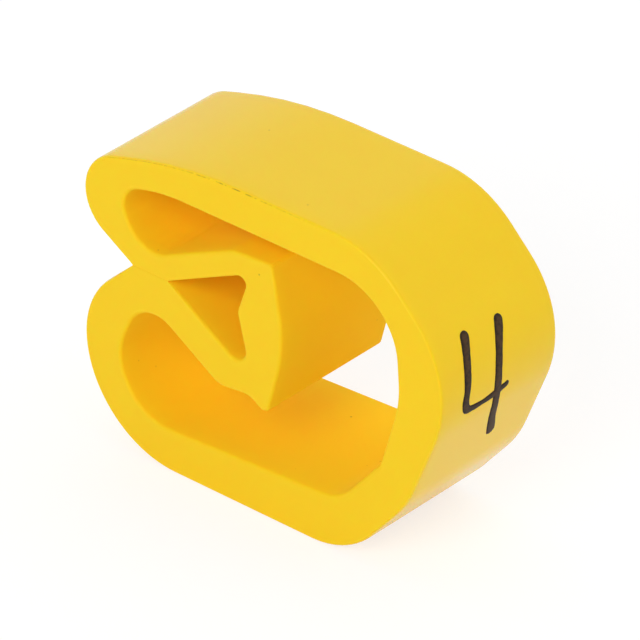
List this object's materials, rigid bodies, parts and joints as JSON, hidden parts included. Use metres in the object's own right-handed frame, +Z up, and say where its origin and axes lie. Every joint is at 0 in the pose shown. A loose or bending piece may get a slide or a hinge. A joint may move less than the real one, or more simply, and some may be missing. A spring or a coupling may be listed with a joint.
{
  "type": "cable marker",
  "caption": "Closed-ring cable marker cut from a soft plastic extrusion: a sprung inward fold behind a shut slit grips the cable against the wall that carries the printed legend.",
  "frame": {"origin": "middle of the section's box, on the flat underside, half way along the cable direction", "axes": "+X from the lobes and slit to the label wall, +Y along the cable, +Z up from the underside to the top wall"},
  "size_m": [0.0108, 0.004, 0.0084],
  "materials": {
    "soft_pvc": "satin, as extruded"
  },
  "bodies": {
    "root": {"marker_ring": "soft_pvc"}
  },
  "joints": []
}
